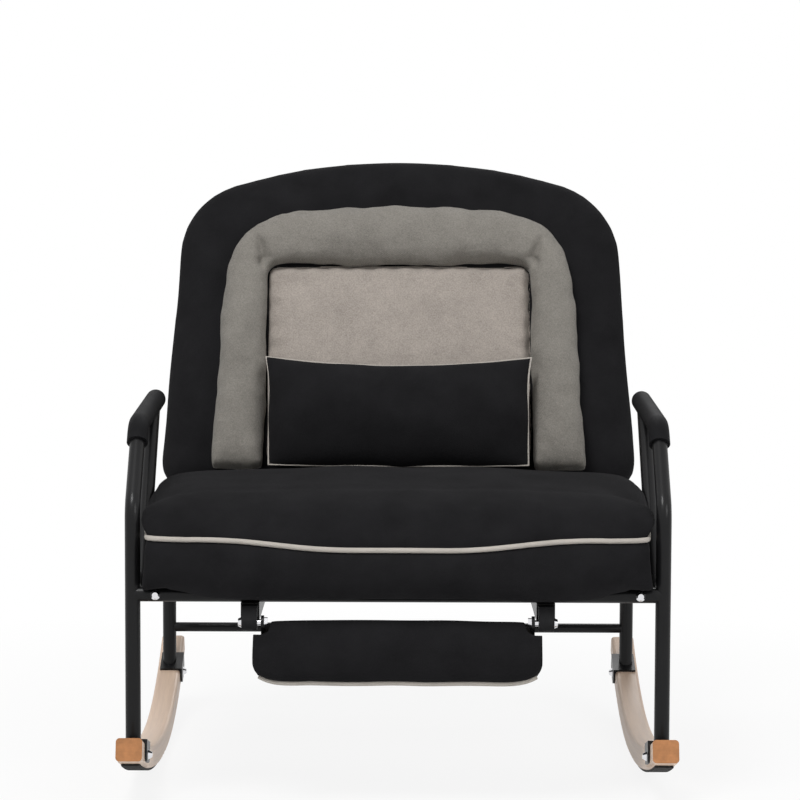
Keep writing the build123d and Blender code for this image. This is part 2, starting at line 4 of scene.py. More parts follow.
import bpy
import numpy as np
from bpy.props import FloatProperty, FloatVectorProperty, PointerProperty
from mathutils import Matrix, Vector, noise
from mathutils.kdtree import KDTree


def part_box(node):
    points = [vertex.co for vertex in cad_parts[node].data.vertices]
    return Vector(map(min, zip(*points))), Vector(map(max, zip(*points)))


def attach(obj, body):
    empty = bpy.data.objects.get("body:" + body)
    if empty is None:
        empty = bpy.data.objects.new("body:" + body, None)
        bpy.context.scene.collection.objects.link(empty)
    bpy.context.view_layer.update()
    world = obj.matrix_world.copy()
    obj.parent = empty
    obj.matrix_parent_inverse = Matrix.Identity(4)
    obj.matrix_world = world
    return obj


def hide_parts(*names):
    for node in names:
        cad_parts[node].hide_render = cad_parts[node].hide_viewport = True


bl_info = {
    "name": "Rocking armchair",
    "version": (1, 0, 0),
    "blender": (4, 5, 0),
    "location": "View3D > Sidebar > Armchair",
    "description": "Covers, piping, finishes and studio for a rocking armchair on its CAD frame",
    "category": "Object",
}

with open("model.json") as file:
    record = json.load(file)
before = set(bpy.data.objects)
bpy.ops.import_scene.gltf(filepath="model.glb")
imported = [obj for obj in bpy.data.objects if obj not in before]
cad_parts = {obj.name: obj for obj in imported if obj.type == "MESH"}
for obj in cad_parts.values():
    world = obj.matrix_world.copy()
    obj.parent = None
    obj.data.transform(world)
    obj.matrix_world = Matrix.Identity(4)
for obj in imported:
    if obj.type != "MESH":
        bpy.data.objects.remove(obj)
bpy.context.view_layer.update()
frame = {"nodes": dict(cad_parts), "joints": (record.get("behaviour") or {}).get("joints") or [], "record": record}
NODES = frame["nodes"]

# The raked plane of the back: across, up the back, and out of it to the front
HINGE = Vector(next(j["pos_m"] for j in frame["joints"] if j["name"] == "recline"))
RAKE = math.radians(22)
BACK_UP = Vector((0, math.sin(RAKE), math.cos(RAKE)))
BACK_OUT = Vector((0, -math.cos(RAKE), math.sin(RAKE)))

# The middle of the front cross tube, and the point on which the rockers rest
LEG_Y = (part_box("front_tube")[0].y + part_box("front_tube")[1].y) / 2
REST = Vector(frame["record"]["mounts"][0]["pos_m"])

# The inner upper corner of the grey border, in the plane of the back
LINER_HALF = 0.194
LINER_TOP = 0.363

SWELL_FRAMES = 20
JOIN_GAP = 0.00002


def arc_radius(tread, end):
    """Radius of a tread's arc from the resting point to its front end (-1) or rear end (1)."""
    points = np.array([v.co for v in NODES[tread].data.vertices], float)
    tip = points[np.argmax(points[:, 1] * end)]
    run, rise = tip[1] - REST.y, tip[2]
    return (run * run + rise * rise) / (2 * rise)


FRONT_ARC = arc_radius("left_tread", -1)
REAR_ARC = arc_radius("left_tread", 1)


# Sizes and colours that a user would change


class ChairSizes(bpy.types.PropertyGroup):
    seat_piping: FloatProperty(
        name="Seat piping", description="Radius of the cord round the seat cushion",
        default=0.0034, unit="LENGTH",
    )
    pillow_piping: FloatProperty(
        name="Pillow piping", description="Radius of the cord round the lumbar pillow",
        default=0.0013, unit="LENGTH",
    )
    foot_piping: FloatProperty(
        name="Footrest piping", description="Radius of the cord along the footrest pad",
        default=0.0031, unit="LENGTH",
    )
    seam_depth: FloatProperty(
        name="Seam depth", description="How far a seam draws the cover in",
        default=0.004, unit="LENGTH",
    )
    crease_depth: FloatProperty(
        name="Corner crease depth", description="Depth of the mitred creases of the grey border",
        default=0.014, unit="LENGTH",
    )
    pressure: FloatProperty(
        name="Filling pressure", description="Pressure of the filling, times each cover's own share",
        default=1.0, min=0.0, max=5.0,
    )


class ChairColours(bpy.types.PropertyGroup):
    black_cover: FloatVectorProperty(
        name="Black cover", description="Colour of the black plush cover",
        subtype="COLOR", default=(0.0120, 0.0118, 0.0128),
    )
    grey_border: FloatVectorProperty(
        name="Grey border", description="Colour of the puffed border of the back",
        subtype="COLOR", default=(0.262, 0.246, 0.220),
    )
    grey_panel: FloatVectorProperty(
        name="Grey panel", description="Colour of the panel inside the border",
        subtype="COLOR", default=(0.418, 0.372, 0.333),
    )
    piping: FloatVectorProperty(
        name="Piping", description="Colour of the light cord in the seams",
        subtype="COLOR", default=(0.56, 0.52, 0.47),
    )
    tube: FloatVectorProperty(
        name="Tube lacquer", description="Colour of the frame's black lacquer",
        subtype="COLOR", default=(0.006, 0.006, 0.0065),
    )
    wood: FloatVectorProperty(
        name="Rocker wood", description="Colour of the bent rockers along the grain",
        subtype="COLOR", default=(0.880, 0.625, 0.475),
    )
    end_grain: FloatVectorProperty(
        name="End grain", description="Colour of the rockers' cut ends",
        subtype="COLOR", default=(0.440, 0.190, 0.070),
    )


class ChairStudio(bpy.types.PropertyGroup):
    distance: FloatProperty(
        name="Camera distance", description="From the front legs to the camera",
        default=3.717, unit="LENGTH",
    )
    height: FloatProperty(
        name="Camera height", description="Of the camera over the floor",
        default=0.846, unit="LENGTH",
    )
    pitch: FloatProperty(
        name="Camera pitch", description="How far the camera looks down",
        default=math.radians(4.87), subtype="ANGLE",
    )
    roll: FloatProperty(
        name="Camera roll", description="How far the camera leans to its left",
        default=math.radians(0.20), subtype="ANGLE",
    )
    lens: FloatProperty(
        name="Lens", description="Focal length on a 36 mm sensor",
        default=130.2, unit="CAMERA",
    )
    shift: FloatProperty(
        name="Sideways shift", description="Half a pixel of a picture 800 pixels wide",
        default=0.5 / 800,
    )


# Shader maths


class Value:
    """A shader socket that works in plain arithmetic."""

    def __init__(self, graph, socket):
        self.graph = graph
        self.socket = socket

    def maths(self, operation, *operands):
        node = self.graph.add("ShaderNodeMath", {"operation": operation}, dict(enumerate(operands)))
        return Value(self.graph, node.outputs[0])

    def __add__(self, other):
        return self.maths("ADD", self, other)

    def __sub__(self, other):
        return self.maths("SUBTRACT", self, other)

    def __rsub__(self, other):
        return self.maths("SUBTRACT", other, self)

    def __mul__(self, other):
        return self.maths("MULTIPLY", self, other)

    def __truediv__(self, other):
        return self.maths("DIVIDE", self, other)

    def __rtruediv__(self, other):
        return self.maths("DIVIDE", other, self)

    def __lt__(self, other):
        return self.maths("LESS_THAN", self, other)

    def __gt__(self, other):
        return self.maths("GREATER_THAN", self, other)

    def __abs__(self):
        return self.maths("ABSOLUTE", self)

    __radd__ = __add__
    __rmul__ = __mul__

    def sine(self):
        return self.maths("SINE", self)

    def fraction(self):
        return self.maths("FRACT", self)

    def root(self):
        return self.maths("SQRT", self)

    def clamped(self):
        return self.maths("MAXIMUM", self.maths("MINIMUM", self, 1.0), 0.0)


class Graph:
    """A node tree, with one method that adds any node."""

    def __init__(self, tree):
        self.tree = tree
        tree.nodes.clear()

    def add(self, kind, settings=None, values=None):
        node = self.tree.nodes.new(kind)
        for key, setting in (settings or {}).items():
            setattr(node, key, setting)
        for key, value in (values or {}).items():
            source = value.socket if isinstance(value, Value) else value
            if isinstance(source, bpy.types.NodeSocket):
                self.tree.links.new(source, node.inputs[key])
            else:
                node.inputs[key].default_value = source
        return node


class Finish(Graph):
    """A material with a principled shader; constant values are set on its sockets."""

    def __init__(self, name, **constants):
        self.material = bpy.data.materials.new(name)
        self.material.use_nodes = True
        super().__init__(self.material.node_tree)
        named = {key.replace("_", " "): value for key, value in constants.items()}
        self.shader = self.add("ShaderNodeBsdfPrincipled", values=named)
        shown = {"Surface": self.shader.outputs["BSDF"]}
        self.output = self.add("ShaderNodeOutputMaterial", values=shown)
        self.place = self.add("ShaderNodeTexCoord").outputs["Object"]
        axes = self.add("ShaderNodeSeparateXYZ", values={"Vector": self.place})
        self.x, self.y, self.z = (Value(self, axes.outputs[i]) for i in range(3))

    def noise(self, scale, detail, roughness, place=None):
        node = self.add(
            "ShaderNodeTexNoise",
            values={
                "Vector": place or self.place,
                "Scale": scale,
                "Detail": detail,
                "Roughness": roughness,
            },
        )
        return Value(self, node.outputs[0])

    def cells(self, scale):
        node = self.add("ShaderNodeTexVoronoi", values={"Vector": self.place, "Scale": scale})
        return Value(self, node.outputs["Distance"])

    def ribs(self, along, pitch):
        """Even ridges, one in each pitch along a direction."""
        return (along * (2 * math.pi / pitch)).sine()

    def point(self, x, y, z):
        return self.add("ShaderNodeCombineXYZ", values={"X": x, "Y": y, "Z": z}).outputs[0]

    def mix(self, share, first, second):
        colours = {
            slot: (*colour, 1.0) if isinstance(colour, tuple) else colour
            for slot, colour in ((6, first), (7, second))
        }
        return self.add("ShaderNodeMix", {"data_type": "RGBA"}, {0: share, **colours}).outputs[2]

    def surface(self, colour, roughness, relief, depth, strength):
        """Lead a colour, a roughness and a relief of some depth to the shader."""
        bump = self.add(
            "ShaderNodeBump",
            values={"Height": relief, "Distance": depth, "Strength": strength},
        )
        links = self.tree.links
        links.new(colour, self.shader.inputs["Base Color"])
        links.new(roughness.socket, self.shader.inputs["Roughness"])
        links.new(bump.outputs["Normal"], self.shader.inputs["Normal"])
        return self.material


def background_rays(graph):
    """One for a ray that shows the background: seen straight, in a gloss or through glass."""
    path = graph.add("ShaderNodeLightPath")
    kinds = ("Camera", "Glossy", "Transmission")
    camera, glossy, through = (Value(graph, path.outputs[f"Is {kind} Ray"]) for kind in kinds)
    return (camera + glossy + through).clamped()


def shade(colour, factor):
    return tuple(min(1.0, part * factor) for part in colour)


# Finishes


def plush_cover(name, colour):
    """Short black pile: fine nap, slow brushing marks and a trace of sheen."""
    finish = Finish(name, Sheen_Weight=0.02, Sheen_Roughness=0.6, Specular_IOR_Level=0.01)
    nap = finish.noise(1500.0, 2.0, 0.6)
    brushed = finish.noise(16.0, 3.0, 0.55)
    pile = finish.cells(900.0)
    share = (nap * 0.5 + brushed * 0.9 - 0.2).clamped()
    tone = finish.mix(share, shade(colour, 0.60), shade(colour, 1.9))
    relief = nap * 0.5 + pile * 0.5 + brushed * 0.8
    return finish.surface(tone, brushed * 0.12 + 0.82, relief, 0.0012, 0.55)


def liner_cloth(name, colour):
    """Grey melange cloth: crossed yarns, flecks and slow shading."""
    finish = Finish(name, Sheen_Weight=0.10, Sheen_Roughness=0.5, Specular_IOR_Level=0.18)
    yarn, lean = 0.0024, 0.42
    across = finish.ribs(finish.x, yarn)
    along = finish.ribs(finish.z + finish.y * lean, yarn)
    weave = across * along
    fleck = finish.noise(520.0, 3.0, 0.7)
    patch = finish.noise(30.0, 4.0, 0.65)
    crumple = finish.noise(55.0, 3.0, 0.6)
    share = (weave * 0.20 + fleck * 1.3 + patch * 0.5 - 0.40).clamped()
    tone = finish.mix(share, shade(colour, 0.58), shade(colour, 1.42))
    relief = weave * 0.12 + fleck * 0.2 + crumple * 1.6
    return finish.surface(tone, fleck * 0.1 + 0.82, relief, 0.0040, 0.6)


def piping_cloth(name, colour):
    """Light bias-cut cord cover with a slanting twill."""
    finish = Finish(name, Specular_IOR_Level=0.2, Sheen_Weight=0.05)
    twill_pitch = 0.0016
    twill = finish.ribs(finish.x + finish.y + finish.z, twill_pitch)
    fleck = finish.noise(700.0, 2.0, 0.6)
    soil = finish.noise(30.0, 2.0, 0.5)
    share = (twill * 0.15 + fleck * 0.5 + soil * 0.6 - 0.05).clamped()
    tone = finish.mix(share, shade(colour, 0.72), shade(colour, 1.22))
    return finish.surface(tone, fleck * 0.1 + 0.8, twill * 0.5 + fleck, 0.0006, 0.5)


def tube_lacquer(name, colour):
    """Stoved black lacquer: faint orange peel, dust and rubbed patches."""
    finish = Finish(name, Coat_Weight=0.15, Coat_Roughness=0.10, Specular_IOR_Level=0.14)
    peel = finish.noise(420.0, 2.0, 0.5)
    rubbed = finish.noise(14.0, 4.0, 0.6)
    tone = finish.mix((rubbed * 1.2 - 0.2).clamped(), shade(colour, 0.7), shade(colour, 1.7))
    return finish.surface(tone, rubbed * 0.2 + 0.30, peel, 0.0002, 0.25)


def grip_foam(name):
    """Matt black arm sleeve with a fine open skin."""
    finish = Finish(name, Specular_IOR_Level=0.03)
    pores = finish.cells(1400.0)
    worn = finish.noise(20.0, 3.0, 0.6)
    tone = finish.mix((worn * 1.3 - 0.2).clamped(), (0.008, 0.008, 0.009), (0.020, 0.020, 0.021))
    return finish.surface(tone, worn * 0.2 + 0.5, pores, 0.0004, 0.4)


def moulded_plastic(name):
    """Black moulded fittings with a spark-eroded grain."""
    finish = Finish(name, Specular_IOR_Level=0.06)
    grain = finish.noise(1800.0, 2.0, 0.6)
    scuff = finish.noise(40.0, 3.0, 0.6)
    tone = finish.mix((scuff * 1.2 - 0.1).clamped(), (0.010, 0.010, 0.011), (0.024, 0.024, 0.025))
    return finish.surface(tone, scuff * 0.2 + 0.48, grain, 0.0003, 0.4)


def bright_steel(name):
    """Plated fasteners with turning marks and faint stains."""
    finish = Finish(name, Metallic=1.0)
    turned = finish.point(finish.x * 200, finish.y * 2600, finish.z * 2600)
    marks = finish.noise(1.0, 2.0, 0.5, turned)
    stain = finish.noise(160.0, 3.0, 0.6)
    tone = finish.mix(stain, (0.58, 0.58, 0.60), (0.86, 0.86, 0.88))
    return finish.surface(tone, stain * 0.18 + 0.10, marks, 0.0002, 0.2)


def bent_wood(name, along, end):
    """Bent laminated wood: layers follow the rocker's two arcs, and the cut ends are darker."""
    finish = Finish(name, Coat_Weight=0.15, Coat_Roughness=0.25, Specular_IOR_Level=0.4)
    layers_per_metre = 260.0
    ahead = finish.y - REST.y
    is_front = ahead < 0.0
    centre = is_front * (FRONT_ARC - REAR_ARC) + REAR_ARC
    rise = centre - finish.z
    radius = (ahead * ahead + rise * rise).root()
    layer = (centre - radius) * layers_per_metre
    joint_line = abs(layer.fraction() - 0.5) * 2.0
    fibres = finish.point(finish.x * 150, finish.y * 7, layer * 1.1)
    fibre = finish.noise(1.0, 6.0, 0.62, fibres)
    figure = finish.noise(1.0, 3.0, 0.5, finish.point(finish.x * 30, finish.y * 3, layer * 0.35))
    pores = finish.noise(1.0, 2.0, 0.5, finish.point(finish.x * 900, finish.y * 45, layer * 9))
    facing = finish.add("ShaderNodeNewGeometry").outputs["Normal"]
    normal = finish.add("ShaderNodeSeparateXYZ", values={"Vector": facing})
    cut = ((abs(Value(finish, normal.outputs[1])) - 0.78) * 9.0).clamped()
    grain = (fibre * 0.75 + figure * 0.75 + pores * 0.25 - 0.4).clamped()
    side = finish.mix(grain, shade(along, 0.70), shade(along, 1.24))
    rings = (finish.noise(90.0, 4.0, 0.6) * 1.4 - 0.2).clamped()
    ends = finish.mix(rings, shade(end, 0.70), shade(end, 1.35))
    bare = finish.mix(cut, side, ends)
    glued = ((joint_line - 0.93) * 14.0).clamped() * 0.35
    tone = finish.mix(glued, bare, shade(end, 0.45))
    return finish.surface(tone, fibre * 0.2 + 0.36, pores * 0.6 + fibre * 0.4, 0.0004, 0.35)


def rubber_tread(name):
    """Black rubber strip with small cross ribs."""
    finish = Finish(name, Specular_IOR_Level=0.3)
    rib_pitch = 0.004
    ribs = finish.ribs(finish.y, rib_pitch)
    dust = finish.noise(60.0, 3.0, 0.6)
    tone = finish.mix((dust * 1.2 - 0.2).clamped(), (0.012, 0.012, 0.012), (0.035, 0.034, 0.033))
    return finish.surface(tone, dust * 0.15 + 0.7, ribs + dust * 0.5, 0.0006, 0.5)


def woven_strap(name):
    """Black elastic webbing with ribs along its length."""
    finish = Finish(name, Specular_IOR_Level=0.2)
    rib_pitch, pick_pitch = 0.0035, 0.0022
    ribs = finish.ribs(finish.x, rib_pitch)
    picks = finish.ribs(finish.y, pick_pitch)
    fuzz = finish.noise(900.0, 2.0, 0.6)
    share = (ribs * 0.25 + picks * 0.2 + fuzz * 0.5 + 0.2).clamped()
    tone = finish.mix(share, (0.010, 0.010, 0.010), (0.040, 0.040, 0.042))
    return finish.surface(tone, fuzz * 0.1 + 0.8, ribs + picks * 0.7, 0.0006, 0.6)


def ply_board(name):
    """Black stained plywood behind the footrest pad."""
    finish = Finish(name, Specular_IOR_Level=0.3)
    fibre = finish.noise(1.0, 5.0, 0.6, finish.point(finish.x * 9, finish.y * 160, finish.z * 170))
    knots = finish.noise(11.0, 3.0, 0.5)
    share = (fibre * 0.9 + knots * 0.5 - 0.3).clamped()
    tone = finish.mix(share, (0.012, 0.011, 0.010), (0.045, 0.040, 0.036))
    return finish.surface(tone, fibre * 0.2 + 0.55, fibre, 0.0004, 0.4)


def material(name, make, *colours):
    return bpy.data.materials.get(name) or make(name, *colours)


def black_plush(context):
    return material("black_plush", plush_cover, tuple(context.scene.chair_colours.black_cover))


def light_piping(context):
    return material("light_piping", piping_cloth, tuple(context.scene.chair_colours.piping))


# Mesh helpers


def only(piece):
    bpy.ops.object.select_all(action="DESELECT")
    piece.select_set(True)
    bpy.context.view_layer.objects.active = piece


def points_of(piece):
    flat = np.empty(len(piece.data.vertices) * 3)
    piece.data.vertices.foreach_get("co", flat)
    return flat.reshape(-1, 3)


def move_points(piece, points):
    piece.data.vertices.foreach_set("co", np.ascontiguousarray(points).ravel())
    piece.data.update()


def normals_of(piece):
    flat = np.empty(len(piece.data.vertices) * 3, np.float32)
    piece.data.vertex_normals.foreach_get("vector", flat)
    return flat.reshape(-1, 3).astype(float)


def ramp(values, start, span):
    """From 0 at the start to 1 a span further on; a negative span runs the other way."""
    return np.clip((values - start) / span, 0, 1)


def falloff(distance, width):
    """1 on a line, fading over a width to both sides."""
    return np.exp(-((distance / width) ** 2))


def back_point(across, up, out):
    return Vector((across, HINGE.y, HINGE.z)) + BACK_UP * up + BACK_OUT * out


def in_back_plane(points):
    """Across, up and out of the raked back, for an array of points."""
    from_hinge = points - np.array([0.0, HINGE.y, HINGE.z])
    return points[:, 0], from_hinge @ np.array(BACK_UP), from_hinge @ np.array(BACK_OUT)


def apply_modifier(piece, kind, **settings):
    only(piece)
    modifier = piece.modifiers.new(kind.title(), kind)
    for key, value in settings.items():
        setattr(modifier, key, value)
    bpy.ops.object.modifier_apply(modifier=modifier.name)


def join_points(piece, gap=JOIN_GAP, outward=False):
    """Merge points that lie together and, where asked, turn every face outwards."""
    only(piece)
    bpy.ops.object.mode_set(mode="EDIT")
    bpy.ops.mesh.select_all(action="SELECT")
    bpy.ops.mesh.remove_doubles(threshold=gap)
    if outward:
        bpy.ops.mesh.normals_make_consistent(inside=False)
    bpy.ops.object.mode_set(mode="OBJECT")


def start_from(node, name, voxel, inset):
    """A soft piece begins as a remeshed copy of its CAD solid, a little smaller."""
    piece = bpy.data.objects.new(name, NODES[node].data.copy())
    piece.data.name = name
    piece.data.materials.clear()
    bpy.context.scene.collection.objects.link(piece)
    join_points(piece)
    apply_modifier(piece, "REMESH", mode="VOXEL", voxel_size=voxel)
    apply_modifier(piece, "SMOOTH", factor=0.5, iterations=4)
    move_points(piece, points_of(piece) - normals_of(piece) * inset)
    return piece


def swell(piece, pressure, cap, held):
    """Fill a cover with pressure; held points stay, and none moves further than the cap."""
    start = points_of(piece)
    only(piece)
    modifier = piece.modifiers.new("Swell", "CLOTH")
    cloth = modifier.settings
    cloth.quality = 4
    cloth.mass = 0.3
    cloth.tension_stiffness = 15
    cloth.compression_stiffness = 15
    cloth.shear_stiffness = 5
    cloth.bending_stiffness = 0.5
    cloth.use_pressure = True
    cloth.uniform_pressure_force = pressure
    cloth.effector_weights.gravity = 0
    modifier.collision_settings.use_collision = False
    group = piece.vertex_groups.new(name="held")
    group.add([int(i) for i in np.flatnonzero(held)], 1.0, "REPLACE")
    cloth.vertex_group_mass = "held"
    modifier.point_cache.frame_start = 1
    modifier.point_cache.frame_end = SWELL_FRAMES
    for step in range(1, SWELL_FRAMES + 1):
        bpy.context.scene.frame_set(step)
    bpy.ops.object.modifier_apply(modifier=modifier.name)
    bpy.context.scene.frame_set(1)
    piece.vertex_groups.clear()
    moved = points_of(piece) - start
    reach = np.linalg.norm(moved, axis=1, keepdims=True)
    share = np.minimum(1.0, cap / np.maximum(reach, 1e-9))
    move_points(piece, start + moved * share)


def uneven(piece, depth, pitch, seed):
    """Slow lumps of the filling."""
    points = points_of(piece)
    shift = Vector((seed * 3.1, seed * 1.7, seed * 2.3))
    lumps = np.array([noise.noise(Vector(p) / pitch + shift) for p in points])
    move_points(piece, points + normals_of(piece) * (lumps * depth)[:, None])


def finish_cover(piece):
    apply_modifier(piece, "SUBSURF", levels=1, render_levels=1)
    only(piece)
    bpy.ops.object.shade_smooth()


def near_line(points, line):
    """Distance from each point to a drawn line of points, and how far along the line it is."""
    tree = KDTree(len(line))
    for index, spot in enumerate(line):
        tree.insert(spot, index)
    tree.balance()
    found = [tree.find(p) for p in points]
    return np.array([f[2] for f in found]), np.array([f[1] / len(line) for f in found])


def denser(line, times=6):
    """A line with more points, evenly set between its own."""
    spots = []
    for first, second in zip(line, line[1:]):
        spots += [first.lerp(second, k / times) for k in range(times)]
    return spots + [line[-1]]


def evened(line, rounds):
    """A line whose inner points are averaged with their neighbours."""
    for _ in range(rounds):
        inner = [(a + 2 * b + c) / 4 for a, b, c in zip(line, line[1:], line[2:])]
        line = [line[0], *inner, line[-1]]
    return line


def draw_in(piece, line, depth, width, taper=0.0):
    """Sink a seam into a cover along a line; a tapered one runs out at its far end."""
    points = points_of(piece)
    away, along = near_line(points, denser(line))
    left = 1 - taper * along
    sink = depth * left * falloff(away, width * left)
    move_points(piece, points - normals_of(piece) * sink[:, None])


def on_cover(piece, inside, outward, reach=0.6):
    """The place and normal where a cover is met from outside, or None where it is missed."""
    outward = Vector(outward).normalized()
    hit, place, normal, _ = piece.ray_cast(Vector(inside) + outward * reach, -outward)
    return (place, normal) if hit else None


def laid_on(piece, line, proud):
    """Bring a line back to a cover, so that a cord on it stands proud of the cloth."""
    spots = []
    for spot in line:
        _, place, normal, _ = piece.closest_point_on_mesh(spot)
        spots.append(place + normal * proud)
    return spots


def cord_along(name, line, radius, closed=False):
    """A round sewn-in cord along a line, as a mesh."""
    curve = bpy.data.curves.new(name, "CURVE")
    curve.dimensions = "3D"
    curve.bevel_depth = radius
    curve.bevel_resolution = 3
    curve.use_fill_caps = not closed
    spline = curve.splines.new("NURBS")
    spline.points.add(len(line) - 1)
    for point, spot in zip(spline.points, line):
        point.co = (*spot, 1.0)
    spline.use_cyclic_u = closed
    spline.use_endpoint_u = not closed
    spline.order_u = 4
    spline.resolution_u = 3
    drawn = bpy.data.objects.new(name, curve)
    bpy.context.scene.collection.objects.link(drawn)
    only(drawn)
    bpy.ops.object.convert(target="MESH")
    cord = bpy.context.view_layer.objects.active
    join_points(cord, outward=True)
    bpy.ops.object.shade_smooth()
    return cord


def dress(piece, cloth, body, stands_for=None):
    """Give a piece its cloth and its body; a filled cover also stands for a CAD solid."""
    piece.data.materials.clear()
    piece.data.materials.append(cloth)
    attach(piece, body)
    if stands_for:
        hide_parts(stands_for)


# Operators


class CHAIR_OT_frame_finishes(bpy.types.Operator):
    """Give the tubes, rockers, fittings and straps their finishes"""

    bl_idname = "chair.frame_finishes"
    bl_label = "Frame finishes"

    def execute(self, context):
        colours = context.scene.chair_colours
        finishes = {
            "black_tube": material("tube_lacquer", tube_lacquer, tuple(colours.tube)),
            "rocker_wood": material(
                "bent_wood", bent_wood, tuple(colours.wood), tuple(colours.end_grain)
            ),
            "board_wood": material("ply_board", ply_board),
            "tread_rubber": material("rubber_tread", rubber_tread),
            "sleeve_plastic": material("grip_foam", grip_foam),
            "black_plastic": material("moulded_plastic", moulded_plastic),
            "bright_steel": material("bright_steel", bright_steel),
            "strap_fabric": material("woven_strap", woven_strap),
        }
        for row in frame["record"]["subparts"]:
            finish = finishes.get(row["material_slot"])
            if finish:
                mesh = NODES[row["node"]].data
                mesh.materials.clear()
                mesh.materials.append(finish)
        return {"FINISHED"}


class CHAIR_OT_seat_cushion(bpy.types.Operator):
    """Fill the seat cushion, sew its front seam and lay the piping in it"""

    bl_idname = "chair.seat_cushion"
    bl_label = "Seat cushion"

    def seam_line(self, cushion, proud=0.0):
        """From the left rear corner round the front to the right rear corner."""
        corner_x, corner_y, corner_z = 0.240, LEG_Y + 0.060, 0.3515
        rear_y, rear_drop, turn_drop = LEG_Y + 0.430, 0.006, 0.0005
        sag_z, sag_half, side_lift = 0.3405, 0.07, 0.0105
        side_steps, turn_steps, front_steps = 22, 30, 20
        sights = []
        for step in range(side_steps + 1):
            share = step / side_steps
            y = rear_y + (corner_y - rear_y) * share
            sights.append(((-corner_x, y), (-1.0, 0.0), corner_z - rear_drop * (1 - share)))
        for step in range(1, turn_steps):
            share = step / turn_steps
            turn = math.radians(180 + 90 * share)
            outward = (math.cos(turn), math.sin(turn))
            sights.append(((-corner_x, corner_y), outward, corner_z - turn_drop * share))
        for step in range(front_steps + 1):
            x = -corner_x + corner_x * step / front_steps
            rise = ramp(abs(x), sag_half, corner_x - sag_half)
            lift = side_lift * rise * rise * (3 - 2 * rise)
            sights.append(((x, corner_y), (0.0, -1.0), sag_z + lift))
        spots = []
        for (x, y), (dx, dy), z in sights:
            found = on_cover(cushion, (x, y, z), (dx, dy, 0))
            if found:
                spots.append(found[0])
        spots = evened(spots, 2)
        spots += [Vector((-p.x, p.y, p.z)) for p in reversed(spots[:-1])]
        return evened(laid_on(cushion, denser(spots, 2), proud), 2)

    def settle(self, cushion):
        """Rest the cushion on its straps, and fill its lower front corners and its shoulders."""
        strap_gap, arm_room = 0.0003, 0.3325
        corner_low, lip_drop = 0.2872, 0.0045
        corner_fill, shoulder_fill = 0.018, 0.024
        points = points_of(cushion)
        over_straps = points[:, 1] > LEG_Y - 0.010
        front_part = points[:, 1] < LEG_Y + 0.060
        front_lip = points[:, 1] < LEG_Y - 0.022
        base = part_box("seat_webbing")[1].z + strap_gap
        points[over_straps, 2] = np.maximum(points[over_straps, 2], base)
        low = corner_low - lip_drop * front_lip
        under = ramp(points[:, 2], 0.325, -0.030) * ramp(np.abs(points[:, 0]), 0.285, 0.035)
        under *= front_part
        points[:, 2] -= under * np.maximum(points[:, 2] - low, 0)
        points[:, 0] *= 1 + corner_fill * under
        shoulder = ramp(points[:, 2], 0.352, 0.020) * ramp(np.abs(points[:, 0]), 0.240, 0.060)
        points[:, 0] *= 1 + shoulder_fill * shoulder
        points[:, 0] = np.clip(points[:, 0], -arm_room, arm_room)
        move_points(cushion, points)

    def execute(self, context):
        sizes = context.scene.chair_sizes
        cushion = start_from("seat_cushion", "seat_cushion_cover", voxel=0.008, inset=0.004)
        height = points_of(cushion)[:, 2]
        underside = height < height.min() + 0.006
        swell(cushion, sizes.pressure * 0.22, cap=0.007, held=underside)
        uneven(cushion, depth=0.003, pitch=0.11, seed=1)
        finish_cover(cushion)
        draw_in(cushion, self.seam_line(cushion), sizes.seam_depth, width=0.009)
        self.settle(cushion)
        dress(cushion, black_plush(context), "chassis", "seat_cushion")
        line = self.seam_line(cushion, sizes.seat_piping * 0.5)
        cord = cord_along("seat_piping", line, sizes.seat_piping)
        dress(cord, light_piping(context), "chassis")
        return {"FINISHED"}


class CHAIR_OT_back_pad(bpy.types.Operator):
    """Fill the black outer pad of the back"""

    bl_idname = "chair.back_pad"
    bl_label = "Back pad"

    def execute(self, context):
        sizes = context.scene.chair_sizes
        pad = start_from("back_pad", "back_pad_cover", voxel=0.008, inset=0.003)
        _, _, out = in_back_plane(points_of(pad))
        rear = out < -0.030
        swell(pad, sizes.pressure * 0.25, cap=0.008, held=rear)
        uneven(pad, depth=0.003, pitch=0.13, seed=2)
        finish_cover(pad)
        points = points_of(pad)
        _, up, _ = in_back_plane(points)
        foot_fill = 0.012
        points[:, 0] *= 1 + foot_fill * ramp(up, 0.33, -0.25)
        move_points(pad, points)
        dress(pad, black_plush(context), "backrest", "back_pad")
        return {"FINISHED"}


